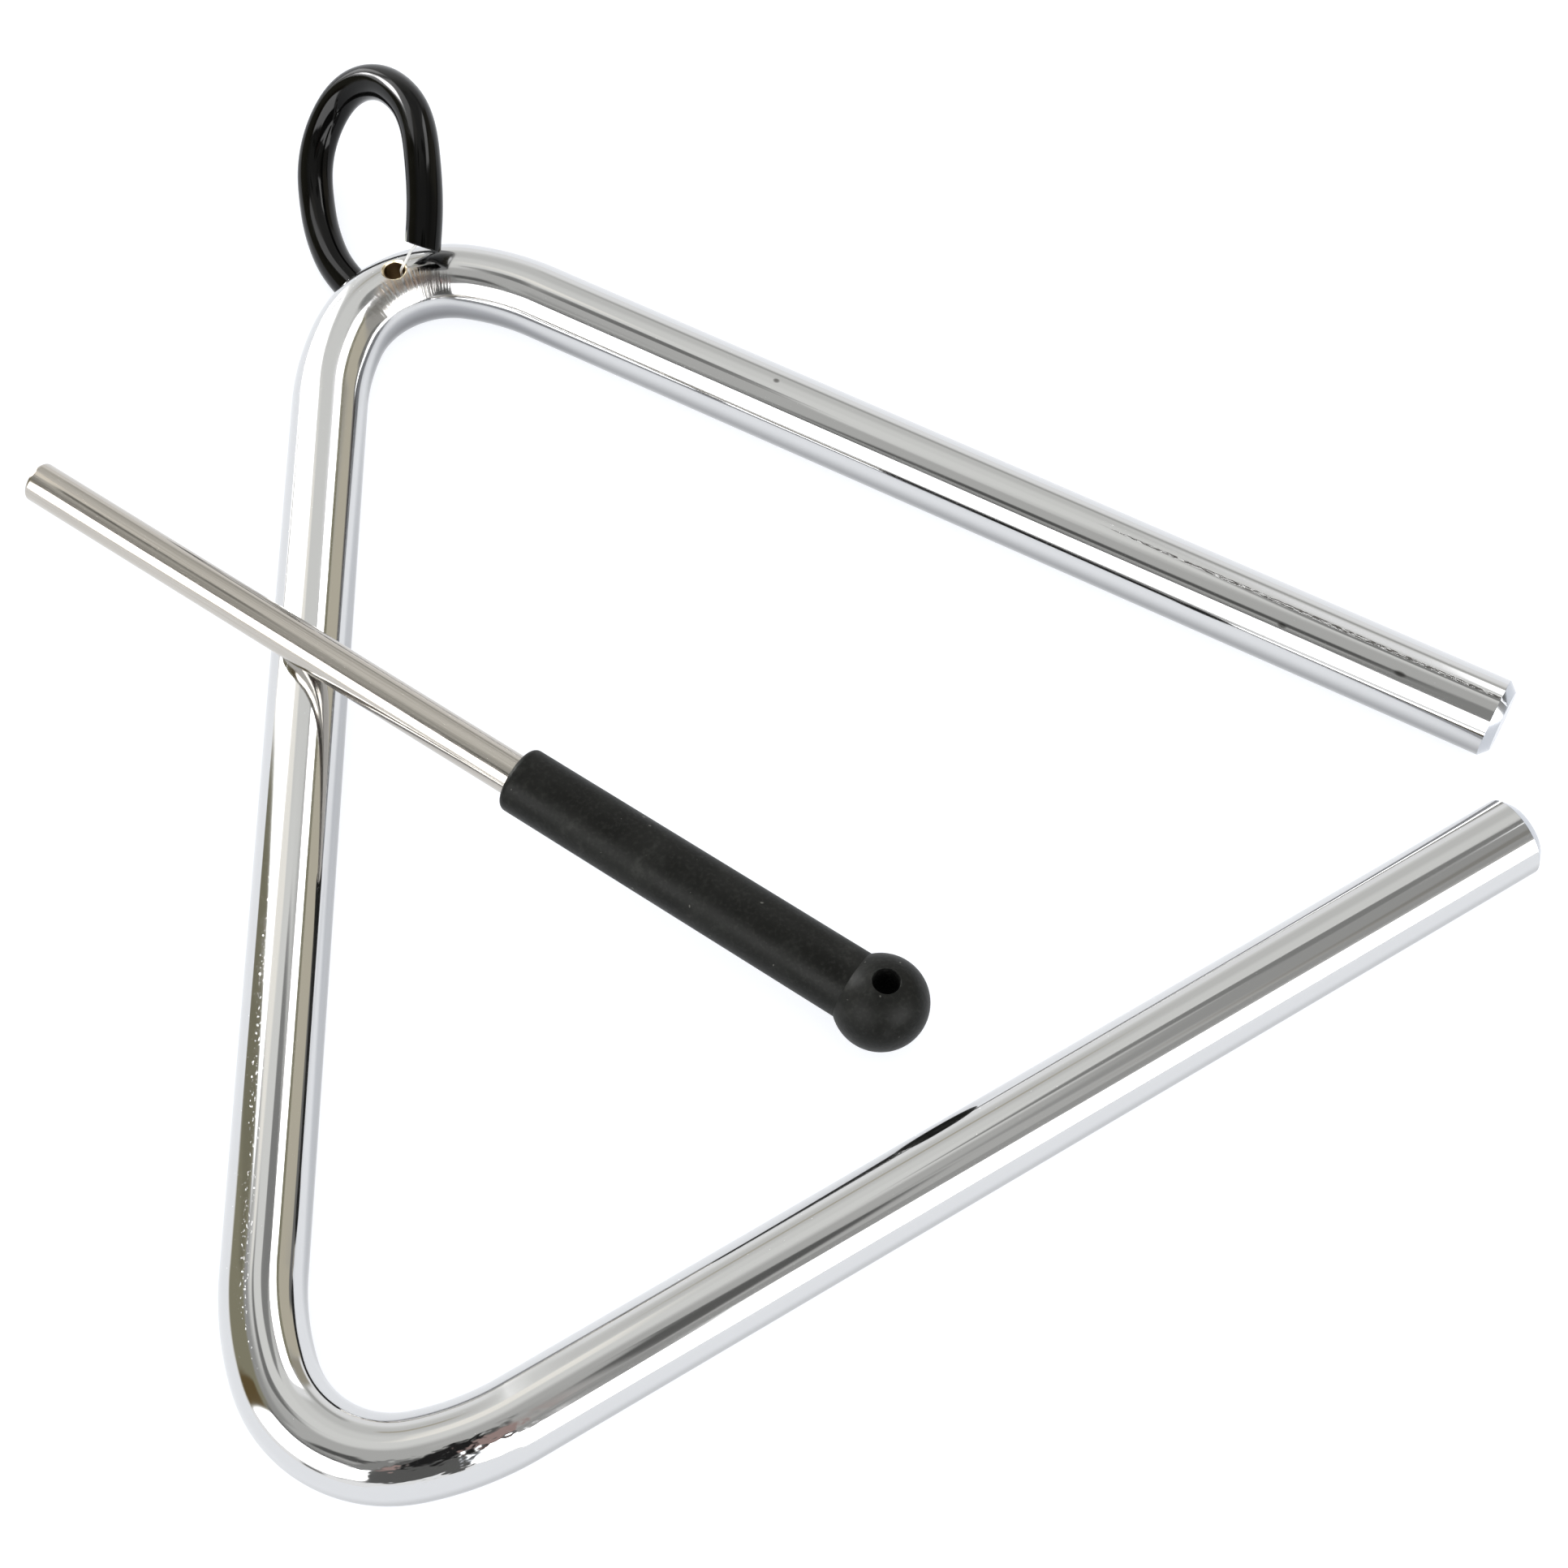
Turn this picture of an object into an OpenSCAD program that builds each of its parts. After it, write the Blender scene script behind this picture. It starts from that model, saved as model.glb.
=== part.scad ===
// Triangle instrument lying flat, with its hanging loop and its beater laid over the closed side.
// Millimetres, +Z up. The bar lies on the plane z = 0, the hanging corner points along +Y and the
// open corner lies at +X, -Y. The origin is below the middle of the triangle's and beater's box.

/* [Triangle bar] */
// Diameter of the round bar
bar_d = 9; // [7:0.5:11]
// Side of the triangle between the sharp corners of the bar's centre line
side = 167.6; // [150:0.2:190]
// Length of each open arm, from its sharp corner to its end face
arm_l = 153.8; // [140:0.2:155]
// Chamfer round the end face of each arm
end_chamfer = 1; // [0.5:0.1:1.5]

/* [Bends] */
// Centre-line radius in the middle of the hanging corner's bend
apex_bend_r = 12.5; // [11:0.1:16]
// Centre-line radius where the hanging corner's bend runs out into its sides
apex_flank_r = 30.5; // [20:0.5:36]
// Turn of each of those run-outs, in degrees
apex_flank_turn = 18.5; // [8:0.5:24]
// Centre-line radius in the middle of the closed corner's bend
closed_bend_r = 13.1; // [11:0.1:16]
// Centre-line radius where the closed corner's bend runs out into its sides
closed_flank_r = 31; // [20:0.5:36]
// Turn of each of those run-outs, in degrees
closed_flank_turn = 20; // [8:0.5:24]
// Growth of the bar's radius at each step from a straight, to a run-out, to the middle of a bend
bend_step = 0.01; // [0.01:0.01:0.04]

/* [Hanging hole] */
// Diameter of the hole drilled through the hanging corner
hole_d = 2.5; // [2:0.1:3]
// Turn of the hole's place round the bend, away from its middle, in degrees
hole_turn = 2; // [0:1:4]
// Diameter of the countersink on top
hole_rim_d = 3.3; // [3.1:0.1:4]
// Diameter of the countersink underneath, where the line turns out under the bar
line_relief_d = 5.6; // [5.4:0.1:6]

/* [Hanging loop] */
// Outer diameter of the tube that sleeves the line
sleeve_d = 4.4; // [4:0.1:4.6]
// Bore of that tube
sleeve_bore_d = 2.8; // [2.4:0.1:3.4]
// Diameter of the clear line
line_d = 0.35; // [0.3:0.01:0.4]
// Diameter of the knot that ties the line's two ends
knot_d = 1.8; // [1.4:0.1:2.2]

/* [Beater rod] */
// Diameter of the rod
rod_d = 4.8; // [4:0.1:6]
// Reach of the rod's free end from the middle of the ball
rod_reach = 114; // [95:1:125]
// Chamfer round both ends of the rod
rod_chamfer = 0.5; // [0.3:0.1:0.8]

/* [Beater grip] */
// Diameter of the ball
ball_d = 10.5; // [9.5:0.1:12]
// Diameter of the hole through the ball
lanyard_hole_d = 3; // [2:0.1:3.5]
// Turn of that hole about the rod, away from upright as the beater lies, in degrees
lanyard_hole_turn = 6; // [0:1:12]
// Diameter of the grip beside the ball
grip_back_d = 7.8; // [7:0.1:8.6]
// Diameter of the grip at its front
grip_front_d = 7.6; // [6.8:0.1:8.4]
// Reach of the grip's front face from the middle of the ball
grip_reach = 47; // [35:1:60]
// Rounding of the grip's front rim
grip_rim_r = 0.8; // [0.4:0.1:1]
// Distance of the rod's seated end from the middle of the ball
socket_floor = 8; // [5:0.5:12]

/* [Beater as it lies] */
// Distance of the ball's middle from the closed side's centre line
ball_off_side = 63.5; // [50:0.5:75]
// Place of the ball's middle along the closed side, from the hanging corner's sharp corner
ball_along_side = 109; // [95:1:120]
// Turn of the beater away from the closed side, seen from above, in degrees
beater_turn = 56; // [45:1:70]

/* [Clearances] */
// Air between the rod and the bar that it lies over
rest_gap = 0.1; // [0.05:0.05:0.3]

/* [Hidden] */

corner_angle = 60;
half_corner = corner_angle / 2;
bar_r = bar_d / 2;
flank_bar_r = bar_r + bend_step;
bend_bar_r = bar_r + 2 * bend_step;
rod_r = rod_d / 2;
ball_r = ball_d / 2;
overrun = bar_d;
cut_over = 1;
bend_overlap = 0.2;
round_fn = 96;
small_fn = 64;
rim_step = 15;
line_sides = 8;
sleeve_sides = 12;

// A bend has a tight middle arc between two wide ones. Its middle arc is centred on the corner's bisector.
function bend_centre(mid_r, flank_r, turn) =
    (flank_r - (flank_r - mid_r) * cos(turn)) / sin(half_corner);
function bend_start(mid_r, flank_r, turn) =
    bend_centre(mid_r, flank_r, turn) * cos(half_corner) + (flank_r - mid_r) * sin(turn);

apex_centre = bend_centre(apex_bend_r, apex_flank_r, apex_flank_turn);
apex_start = bend_start(apex_bend_r, apex_flank_r, apex_flank_turn);
closed_centre = bend_centre(closed_bend_r, closed_flank_r, closed_flank_turn);
closed_start = bend_start(closed_bend_r, closed_flank_r, closed_flank_turn);

// The bar lies on its bends, which are a hair thicker than its straights.
// Its box is measured from the hanging corner's sharp corner.
box_left = -side * sin(half_corner) + closed_centre * cos(half_corner) - closed_bend_r - bend_bar_r;
box_right = (arm_l - end_chamfer) * sin(half_corner) + bar_r * cos(half_corner);
box_back = apex_bend_r + bend_bar_r - apex_centre;
box_front = -side * cos(half_corner) - flank_bar_r;

apex_at = [-(box_left + box_right) / 2, -(box_back + box_front) / 2, 0];
hole_at = apex_at + [apex_bend_r * sin(hole_turn), apex_bend_r * cos(hole_turn) - apex_centre, 0];

// Unit vectors along the closed side, down from the hanging corner, and square to it, into the triangle.
side_along = [-sin(half_corner), -cos(half_corner), 0];
side_inward = [cos(half_corner), -sin(half_corner), 0];
ball_at = apex_at + ball_along_side * side_along + ball_off_side * side_inward + [0, 0, ball_r];

// The ball stands on the ground and the rod clears the top of the closed side by rest_gap: the slope
// is the one at which the rod's and the bar's centre lines pass each other at that distance.
beater_heading = 90 - half_corner + beater_turn;
lean = bar_r + rod_r + rest_gap;
ball_above_bar = ball_r - bend_bar_r;
beater_slope = atan(sin(beater_turn)
    * (lean * sqrt(ball_off_side ^ 2 + ball_above_bar ^ 2 - lean ^ 2) - ball_off_side * ball_above_bar)
    / (ball_off_side ^ 2 - lean ^ 2));

// Middle line of the sleeve, from its low end beside the bar to its high end over the bar, measured
// from the hole's axis at ground level.
sleeve_route = [
    [-3.9, 4.5, 2.5], [-4.2, 6.9, 2.4], [-4.3, 9.8, 2.3], [-3.9, 13.1, 2.3], [-3.1, 16.4, 2.5],
    [-1.9, 19.7, 3], [-0.4, 22.8, 4], [1.5, 25.2, 5.4], [4, 26.7, 7.6], [6.7, 26.9, 10.1],
    [9, 25.4, 12.4], [10.6, 22.6, 14.2], [11.3, 19, 15.6], [11.3, 15.2, 16.3], [10.5, 11.5, 16.2],
    [9.1, 8, 15.6], [7.5, 4.7, 14.5], [5.7, 1.6, 13.2], [3.8, -1.2, 11.9]
];
// The sleeve's high end is snipped a little off square. This is the way its cut face looks.
sleeve_cut_way = [-0.66, -0.47, -0.58];
// The knot sits just inside the sleeve's high end.
knot_at = [4.7, 0.1, 12.5];
// The line leaves the knot, goes down through the hole and out under the bar to the sleeve's low end.
line_route = [
    [4.4, -0.2, 12.2], [3.9, -0.3, 12], [3.3, -0.3, 11.6], [2.6, -0.2, 11], [2, -0.2, 10.2],
    [1.4, -0.3, 9.5], [0.9, -0.2, 8.7], [0.8, 0, 7.2], [0.6, 0.2, 5], [0.2, 0.4, 3], [-0.1, 0.7, 1.6],
    [-0.3, 1.2, 0.65], [-0.5, 1.8, 0.22], [-1.1, 2.7, 0.22], [-2, 3.4, 0.5], [-3, 4, 1.3]
];

// It goes back through the sleeve and ends in the knot.
line_end = [5.1, 0.7, 12.8];
last_turn = len(sleeve_route) - 1;
line_back = [for (i = [0 : last_turn]) i == last_turn ? line_end : sleeve_route[i]];

// Swept tubes: rings of points carried along a route without twist.
function unit(v) = v / norm(v);
function heading(route, i) =
    i == 0 ? unit(route[1] - route[0])
    : i == len(route) - 1 ? unit(route[i] - route[i - 1])
    : unit(route[i + 1] - route[i - 1]);
function carried(side_way, along) = unit(side_way - (side_way * along) * along);
function side_ways(route, i, last) =
    i == len(route) ? []
    : let (now = carried(last, heading(route, i))) concat([now], side_ways(route, i + 1, now));
function ring(at, along, side_way, radius, sides) =
    let (other = cross(along, side_way))
    [for (k = [0 : sides - 1])
        at + radius * (cos(360 * k / sides) * side_way + sin(360 * k / sides) * other)];
// Slides a ring's points along the tube onto a plane through its middle.
function snipped(points, at, along, cut_way) =
    [for (p = points) p - ((p - at) * cut_way) / (along * cut_way) * along];
function rings(route, radius, sides, end_way) =
    let (ways = side_ways(route, 0, [0, 0, 1]), last = len(route) - 1)
    [for (i = [0 : last])
        let (
            along = heading(route, i),
            cut_way = i == last ? end_way : along
        )
        each snipped(ring(route[i], along, ways[i], radius, sides), route[i], along, cut_way)];
function band(first, count, sides, inward) =
    [for (i = [0 : count - 2], k = [0 : sides - 1])
        let (
            a = first + i * sides + k,
            b = first + i * sides + (k + 1) % sides,
            c = b + sides,
            d = a + sides
        )
        each inward ? [[a, b, c], [a, c, d]] : [[a, c, b], [a, d, c]]];
function disc(first, sides, facing_back) =
    [for (k = [1 : sides - 2])
        facing_back ? [first, first + k, first + k + 1] : [first, first + k + 1, first + k]];
function collar(outer, inner, sides, facing_back) =
    [for (k = [0 : sides - 1])
        let (n = (k + 1) % sides)
        each facing_back
            ? [[outer + k, outer + n, inner + n], [outer + k, inner + n, inner + k]]
            : [[outer + k, inner + n, outer + n], [outer + k, inner + k, inner + n]]];

module solid_tube(route, radius, sides) {
    count = len(route);
    polyhedron(
        points = rings(route, radius, sides, heading(route, count - 1)),
        faces = concat(
            band(0, count, sides, false),
            disc(0, sides, true),
            disc((count - 1) * sides, sides, false)
        )
    );
}

module hollow_tube(route, outer_r, bore_r, sides, end_way) {
    count = len(route);
    bore = count * sides;
    polyhedron(
        points = concat(rings(route, outer_r, sides, end_way), rings(route, bore_r, sides, end_way)),
        faces = concat(
            band(0, count, sides, false),
            band(bore, count, sides, true),
            collar(0, bore, sides, true),
            collar(bore - sides, 2 * bore - sides, sides, false)
        )
    );
}

// One straight stretch of bar along +X, with what follows it placed at its end.
module straight_bar(length) {
    rotate([0, 90, 0]) cylinder(h = length, r = bar_r, $fn = round_fn);
    translate([length, 0, 0]) children();
}

// One arc of bar that starts along +X and turns left, with what follows it placed at its end.
// It runs on past both of its ends by the overlap.
module bar_arc(radius, turn, tube_r, overlap) {
    lead = overlap / radius * 180 / PI;
    translate([0, radius, 0]) rotate([0, 0, -90 - lead])
        rotate_extrude(angle = turn + 2 * lead, $fn = round_fn)
            translate([radius, 0]) circle(r = tube_r, $fn = round_fn);
    translate([0, radius, 0]) rotate([0, 0, turn]) translate([0, -radius, 0]) children();
}

// A run-out, the middle and a run-out. The run-outs overlap what they join, so that all is one solid.
module bar_bend(mid_r, flank_r, turn) {
    bar_arc(flank_r, turn, flank_bar_r, bend_overlap)
        bar_arc(mid_r, 180 - corner_angle - 2 * turn, bend_bar_r, 0)
            bar_arc(flank_r, turn, flank_bar_r, bend_overlap) children();
}

// The chamfered tip of an arm, pointing along +X.
module arm_tip() {
    rotate([0, 90, 0]) cylinder(h = end_chamfer, r1 = bar_r, r2 = bar_r - end_chamfer, $fn = round_fn);
}

// The bar's pieces are placed one after the other, from the upper arm's free end to the lower arm's.
module bent_bar() {
    arm_straight = arm_l - end_chamfer;
    translate(apex_at + [0, 0, bend_bar_r])
        rotate([0, 0, 90 + half_corner])
            translate([-arm_straight, 0, 0]) {
                rotate([0, 0, 180]) arm_tip();
                straight_bar(arm_straight - apex_start)
                    bar_bend(apex_bend_r, apex_flank_r, apex_flank_turn)
                        straight_bar(side - apex_start - closed_start)
                            bar_bend(closed_bend_r, closed_flank_r, closed_flank_turn)
                                straight_bar(arm_straight - closed_start) arm_tip();
            }
}

// The hole runs down through the bar, with a small countersink on top and a wider one underneath.
module hanging_hole() {
    rim = (hole_rim_d - hole_d) / 2;
    relief = (line_relief_d - hole_d) / 2;
    translate(hole_at) {
        translate([0, 0, -overrun])
            cylinder(h = 2 * (bend_bar_r + overrun), d = hole_d, $fn = small_fn);
        translate([0, 0, 2 * bend_bar_r - rim])
            cylinder(h = rim + cut_over, d1 = hole_d, d2 = hole_rim_d + 2 * cut_over, $fn = small_fn);
        translate([0, 0, -cut_over])
            cylinder(h = relief + cut_over, d1 = line_relief_d + 2 * cut_over, d2 = hole_d, $fn = small_fn);
    }
}

module triangle_bar() {
    color([0.82, 0.83, 0.84])
        difference() {
            bent_bar();
            hanging_hole();
        }
}

module suspension_line() {
    color([0.93, 0.93, 0.9])
        translate(hole_at) solid_tube(concat(line_route, line_back), line_d / 2, line_sides);
}

module line_knot() {
    color([0.93, 0.93, 0.9])
        translate(hole_at + knot_at) sphere(d = knot_d, $fn = small_fn);
}

module line_sleeve() {
    color([0.03, 0.03, 0.03])
        translate(hole_at)
            hollow_tube(sleeve_route, sleeve_d / 2, sleeve_bore_d / 2, sleeve_sides, sleeve_cut_way);
}

// The beater's own frame: the middle of the ball at the origin and the rod along +X.
module as_beater_lies() {
    translate(ball_at) rotate([0, -beater_slope, beater_heading]) children();
}

module rod_solid() {
    rod_l = rod_reach - socket_floor;
    translate([socket_floor, 0, 0]) rotate([0, 90, 0])
        rotate_extrude($fn = round_fn)
            polygon([
                [0, 0], [rod_r - rod_chamfer, 0], [rod_r, rod_chamfer],
                [rod_r, rod_l - rod_chamfer], [rod_r - rod_chamfer, rod_l], [0, rod_l]
            ]);
}

module beater_rod() {
    color([0.72, 0.7, 0.68]) as_beater_lies() rod_solid();
}

// Half outline of the grip's sleeve, with its front rim rounded, turned about its own length.
module grip_profile() {
    front_r = grip_front_d / 2;
    polygon(concat(
        [[0, 0], [grip_back_d / 2, 0]],
        [for (a = [0 : rim_step : 90])
            [front_r - grip_rim_r * (1 - cos(a)), grip_reach - grip_rim_r * (1 - sin(a))]],
        [[0, grip_reach]]
    ));
}

module beater_grip() {
    socket_l = grip_reach - socket_floor;
    color([0.09, 0.09, 0.09]) as_beater_lies()
        difference() {
            union() {
                sphere(r = ball_r, $fn = round_fn);
                rotate([0, 90, 0]) rotate_extrude($fn = round_fn) grip_profile();
            }
            translate([socket_floor, 0, 0]) rotate([0, 90, 0])
                cylinder(h = socket_l + overrun, r = rod_r, $fn = round_fn);
            rotate([lanyard_hole_turn, 0, 0]) translate([0, 0, -ball_d])
                cylinder(h = 2 * ball_d, d = lanyard_hole_d, $fn = small_fn);
        }
}

triangle_bar();
suspension_line();
line_knot();
line_sleeve();
beater_rod();
beater_grip();
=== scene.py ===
"""The triangle, its hanging loop and its beater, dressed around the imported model.

Everything is in metres in the model's frame: +Z up, the bar lying on z = 0.
"""
import math

import bpy
import numpy as np
from mathutils import Matrix, Vector


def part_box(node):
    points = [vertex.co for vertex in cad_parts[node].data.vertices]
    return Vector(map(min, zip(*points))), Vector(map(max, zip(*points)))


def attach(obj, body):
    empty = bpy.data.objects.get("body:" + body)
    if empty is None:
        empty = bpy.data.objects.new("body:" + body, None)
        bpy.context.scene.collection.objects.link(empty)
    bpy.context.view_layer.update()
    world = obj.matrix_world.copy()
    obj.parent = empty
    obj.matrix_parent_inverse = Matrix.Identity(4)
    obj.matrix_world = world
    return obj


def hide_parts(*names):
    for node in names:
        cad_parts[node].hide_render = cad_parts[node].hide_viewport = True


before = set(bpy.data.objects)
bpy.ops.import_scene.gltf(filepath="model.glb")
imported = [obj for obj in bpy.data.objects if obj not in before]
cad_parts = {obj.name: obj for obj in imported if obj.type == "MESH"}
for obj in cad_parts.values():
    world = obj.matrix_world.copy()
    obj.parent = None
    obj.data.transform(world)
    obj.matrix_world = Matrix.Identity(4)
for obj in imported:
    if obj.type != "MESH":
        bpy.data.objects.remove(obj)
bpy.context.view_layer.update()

MM = 0.001
DEG = math.pi / 180

# The bar, as the model has it
BAR_R = 4.51 * MM
BAR_HEIGHT = 4.52 * MM
SIDE = 167.6 * MM
ARM = 153.8 * MM
END_CHAMFER = 1 * MM
EDGE_ROUND = 0.12 * MM
HALF_CORNER = 30 * DEG
APEX_BEND = (12.5 * MM, 30.5 * MM, 18.5 * DEG)
CLOSED_BEND = (13.1 * MM, 31 * MM, 20 * DEG)
HOLE_R = 1.25 * MM
HOLE_RIM_R = 1.65 * MM
RELIEF_R = 2.8 * MM
HOLE_TURN = 2 * DEG
HOLE_SOFT = 0.1 * MM
BAR_SIDES = 144
STRAIGHT_STEP, BEND_STEP = 2.5 * MM, 0.3 * MM

# Turned pieces and cutters
TURNED_SIDES = 96
CUT_OVER = 1 * MM

# The loop, measured from the hole's axis at ground level
SLEEVE_R = 2.2 * MM
SLEEVE_BORE_R = 1.4 * MM
SLEEVE_EDGE = 0.15 * MM
LINE_D = 0.35 * MM
KNOT_R = 0.62 * MM
SLEEVE_ROUTE = [
    (-3.9, 4.5, 2.5), (-4.2, 6.9, 2.4), (-4.3, 9.8, 2.3), (-3.9, 13.1, 2.3), (-3.1, 16.4, 2.5),
    (-1.9, 19.7, 3), (-0.4, 22.8, 4), (1.5, 25.2, 5.4), (4, 26.7, 7.6), (6.7, 26.9, 10.1),
    (9, 25.4, 12.4), (10.6, 22.6, 14.2), (11.3, 19, 15.6), (11.3, 15.2, 16.3), (10.5, 11.5, 16.2),
    (9.1, 8, 15.6), (7.5, 4.7, 14.5), (5.7, 1.6, 13.2), (3.8, -1.2, 11.9),
]
SLEEVE_CUT_WAY = (-0.66, -0.47, -0.58)
LINE_ROUTE = [
    (4.4, -0.2, 12.2), (3.9, -0.3, 12), (3.3, -0.3, 11.6), (2.6, -0.2, 11), (2, -0.2, 10.2),
    (1.4, -0.3, 9.5), (0.9, -0.2, 8.7), (0.8, 0, 7.2), (0.6, 0.2, 5), (0.2, 0.4, 3), (-0.1, 0.7, 1.6),
    (-0.3, 1.2, 0.65), (-0.5, 1.8, 0.22), (-1.1, 2.7, 0.22), (-2, 3.4, 0.5), (-3, 4, 1.3),
]
# The painted glint on the sleeve's cut end: the side of its mouth where it sits, and how far it reaches
GLINT_SIDE = (-0.89, 0.45, 0)
GLINT_REACH = 1.1 * MM
LINE_END = (5.1, 0.7, 12.8)
KNOT_AT = (4.7, 0.1, 12.5)
KNOT_LOBE = 0.38
KNOT_SIDES, KNOT_STEPS = 12, 160
LINE_SIDES, LINE_STEP = 14, 0.25 * MM
SLEEVE_SIDES, SLEEVE_STEP = 64, 0.6 * MM
SLEEVE_CUT_RINGS = 3

# The beater, in its own frame: the ball's middle at the origin and the rod along +X
ROD_R = 2.4 * MM
ROD_REACH = 114 * MM
ROD_CHAMFER = 0.5 * MM
SOCKET_FLOOR = 8 * MM
BALL_R = 5.25 * MM
CROSS_HOLE_R = 1.5 * MM
CROSS_HOLE_TURN = 6 * DEG
GRIP_BACK_R = 3.9 * MM
GRIP_FRONT_R = 3.8 * MM
GRIP_REACH = 47 * MM
GRIP_RIM = 0.8 * MM
MOUTH_GAP = 0.08 * MM
MOUTH_SOFT = 0.2 * MM
CROSS_HOLE_SOFT = 0.1 * MM
ROD_ROWS = 24
GRIP_ROWS = BALL_ROWS = 60
BALL_OFF_SIDE = 63.5 * MM
BALL_ALONG_SIDE = 109 * MM
BEATER_TURN = 56 * DEG
REST_GAP = 0.1 * MM


def bend_centre(bend):
    """How far the middle of a bend's tight arc lies from its sharp corner, along the bisector."""
    mid, flank, turn = bend
    return (flank - (flank - mid) * math.cos(turn)) / math.sin(HALF_CORNER)


def bend_start(bend):
    """How far from its sharp corner a bend begins."""
    mid, flank, turn = bend
    return bend_centre(bend) * math.cos(HALF_CORNER) + (flank - mid) * math.sin(turn)


def apex_place():
    """The hanging corner's sharp corner: the model's origin is below the middle of its box."""
    bar_high = Vector(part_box("triangle_bar")[1])
    back = APEX_BEND[0] + BAR_HEIGHT - bend_centre(APEX_BEND)
    right = (ARM - END_CHAMFER) * math.sin(HALF_CORNER) + BAR_R * math.cos(HALF_CORNER)
    return Vector((bar_high.x - right, bar_high.y - back, 0))


APEX = apex_place()
HOLE = APEX + Vector((
    APEX_BEND[0] * math.sin(HOLE_TURN),
    APEX_BEND[0] * math.cos(HOLE_TURN) - bend_centre(APEX_BEND),
    0,
))


# Camera

CAMERA_TARGET = Vector((3.67, -18.2, 4.5)) * MM
CAMERA_DISTANCE = 311.5 * MM
CAMERA_AZIMUTH = -27.1 * DEG
CAMERA_ELEVATION = 61.7 * DEG
CAMERA_ROLL = -4.22 * DEG
CAMERA_LENS = 64.83
CAMERA_SENSOR = 36


def make_camera():
    az, el, roll = CAMERA_AZIMUTH, CAMERA_ELEVATION, CAMERA_ROLL
    back = Vector((math.sin(az) * math.cos(el), -math.cos(az) * math.cos(el), math.sin(el)))
    right = Vector((math.cos(az), math.sin(az), 0))
    up = back.cross(right)
    across = math.cos(roll) * right + math.sin(roll) * up
    upward = -math.sin(roll) * right + math.cos(roll) * up
    data = bpy.data.cameras.new("camera")
    data.sensor_width = CAMERA_SENSOR
    data.lens = CAMERA_LENS
    data.clip_start = 0.01
    data.clip_end = 50
    camera = bpy.data.objects.new("camera", data)
    turned = Matrix((across, upward, back)).transposed().to_4x4()
    camera.matrix_world = Matrix.Translation(CAMERA_TARGET + back * CAMERA_DISTANCE) @ turned
    bpy.context.collection.objects.link(camera)
    bpy.context.scene.camera = camera


make_camera()


# Mesh tools

def add_mesh(name, verts, faces, material, sharp_angle=35):
    mesh = bpy.data.meshes.new(name)
    mesh.from_pydata([tuple(v) for v in verts], [], faces)
    mesh.update()
    mesh.polygons.foreach_set("use_smooth", [True] * len(mesh.polygons))
    mesh.set_sharp_from_angle(angle=sharp_angle * DEG)
    mesh.materials.append(material)
    obj = bpy.data.objects.new(name, mesh)
    bpy.context.collection.objects.link(obj)
    return obj


def tube_faces(count, sides):
    """The quads between neighbouring rings."""
    quads = []
    for i in range(count - 1):
        for k in range(sides):
            a = i * sides + k
            b = i * sides + (k + 1) % sides
            quads.append((a, b, b + sides, a + sides))
    return quads


def capped_tube_faces(count, sides):
    """A tube's quads with a face over each of its ends."""
    last = (count - 1) * sides
    return tube_faces(count, sides) + [tuple(range(sides))[::-1], tuple(range(last, last + sides))]


def lathe(profile, sides):
    """Turns (distance along X, radius) points about the X axis. A radius of 0 closes the end."""
    verts, faces = [], []
    rings = []
    for along, radius in profile:
        if radius == 0:
            rings.append([len(verts)])
            verts.append(Vector((along, 0, 0)))
            continue
        rings.append(list(range(len(verts), len(verts) + sides)))
        for k in range(sides):
            a = 2 * math.pi * k / sides
            verts.append(Vector((along, radius * math.sin(a), radius * math.cos(a))))
    for low, high in zip(rings, rings[1:]):
        for k in range(sides):
            n = (k + 1) % sides
            if len(low) == 1:
                faces.append((low[0], high[k], high[n]))
            elif len(high) == 1:
                faces.append((low[n], low[k], high[0]))
            else:
                faces.append((low[n], low[k], high[k], high[n]))
    return verts, faces


def smooth_route(points, step):
    """Points a step apart on the smooth curve through a route's points, with natural ends."""
    p = np.array(points, float)
    t = np.concatenate([[0], np.cumsum(np.linalg.norm(np.diff(p, axis=0), axis=1))])
    h = np.diff(t)
    n = len(p)
    system = np.eye(n)
    right = np.zeros((n, 3))
    for i in range(1, n - 1):
        system[i, i - 1:i + 2] = (h[i - 1], 2 * (h[i - 1] + h[i]), h[i])
        right[i] = 6 * ((p[i + 1] - p[i]) / h[i] - (p[i] - p[i - 1]) / h[i - 1])
    curve = np.linalg.solve(system, right)
    count = max(2, round(t[-1] / step) + 1)
    out = []
    for s in np.linspace(0, t[-1], count):
        i = min(n - 2, int(np.searchsorted(t, s, side="right")) - 1)
        a, b = t[i + 1] - s, s - t[i]
        out.append(
            curve[i] * a ** 3 / (6 * h[i]) + curve[i + 1] * b ** 3 / (6 * h[i])
            + (p[i] / h[i] - curve[i] * h[i] / 6) * a + (p[i + 1] / h[i] - curve[i + 1] * h[i] / 6) * b
        )
    return [Vector(v) for v in out]


def carried_frames(path, start=Vector((0, 0, 1))):
    """(point, direction, side, other side) along a path, without twist."""
    frames = []
    side = start
    for i, p in enumerate(path):
        along = (path[min(i + 1, len(path) - 1)] - path[max(i - 1, 0)]).normalized()
        side = (side - side.dot(along) * along).normalized()
        frames.append((p, along, side, along.cross(side)))
    return frames


def swept(frames, radii, sides):
    """A tube's rings: radii gives (frame's number, shift along it, radius) for each ring in turn."""
    verts = []
    for i, shift, radius in radii:
        p, along, side, other = frames[i]
        for k in range(sides):
            a = 2 * math.pi * k / sides
            verts.append(p + shift * along + radius * (math.cos(a) * side + math.sin(a) * other))
    return verts


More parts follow.
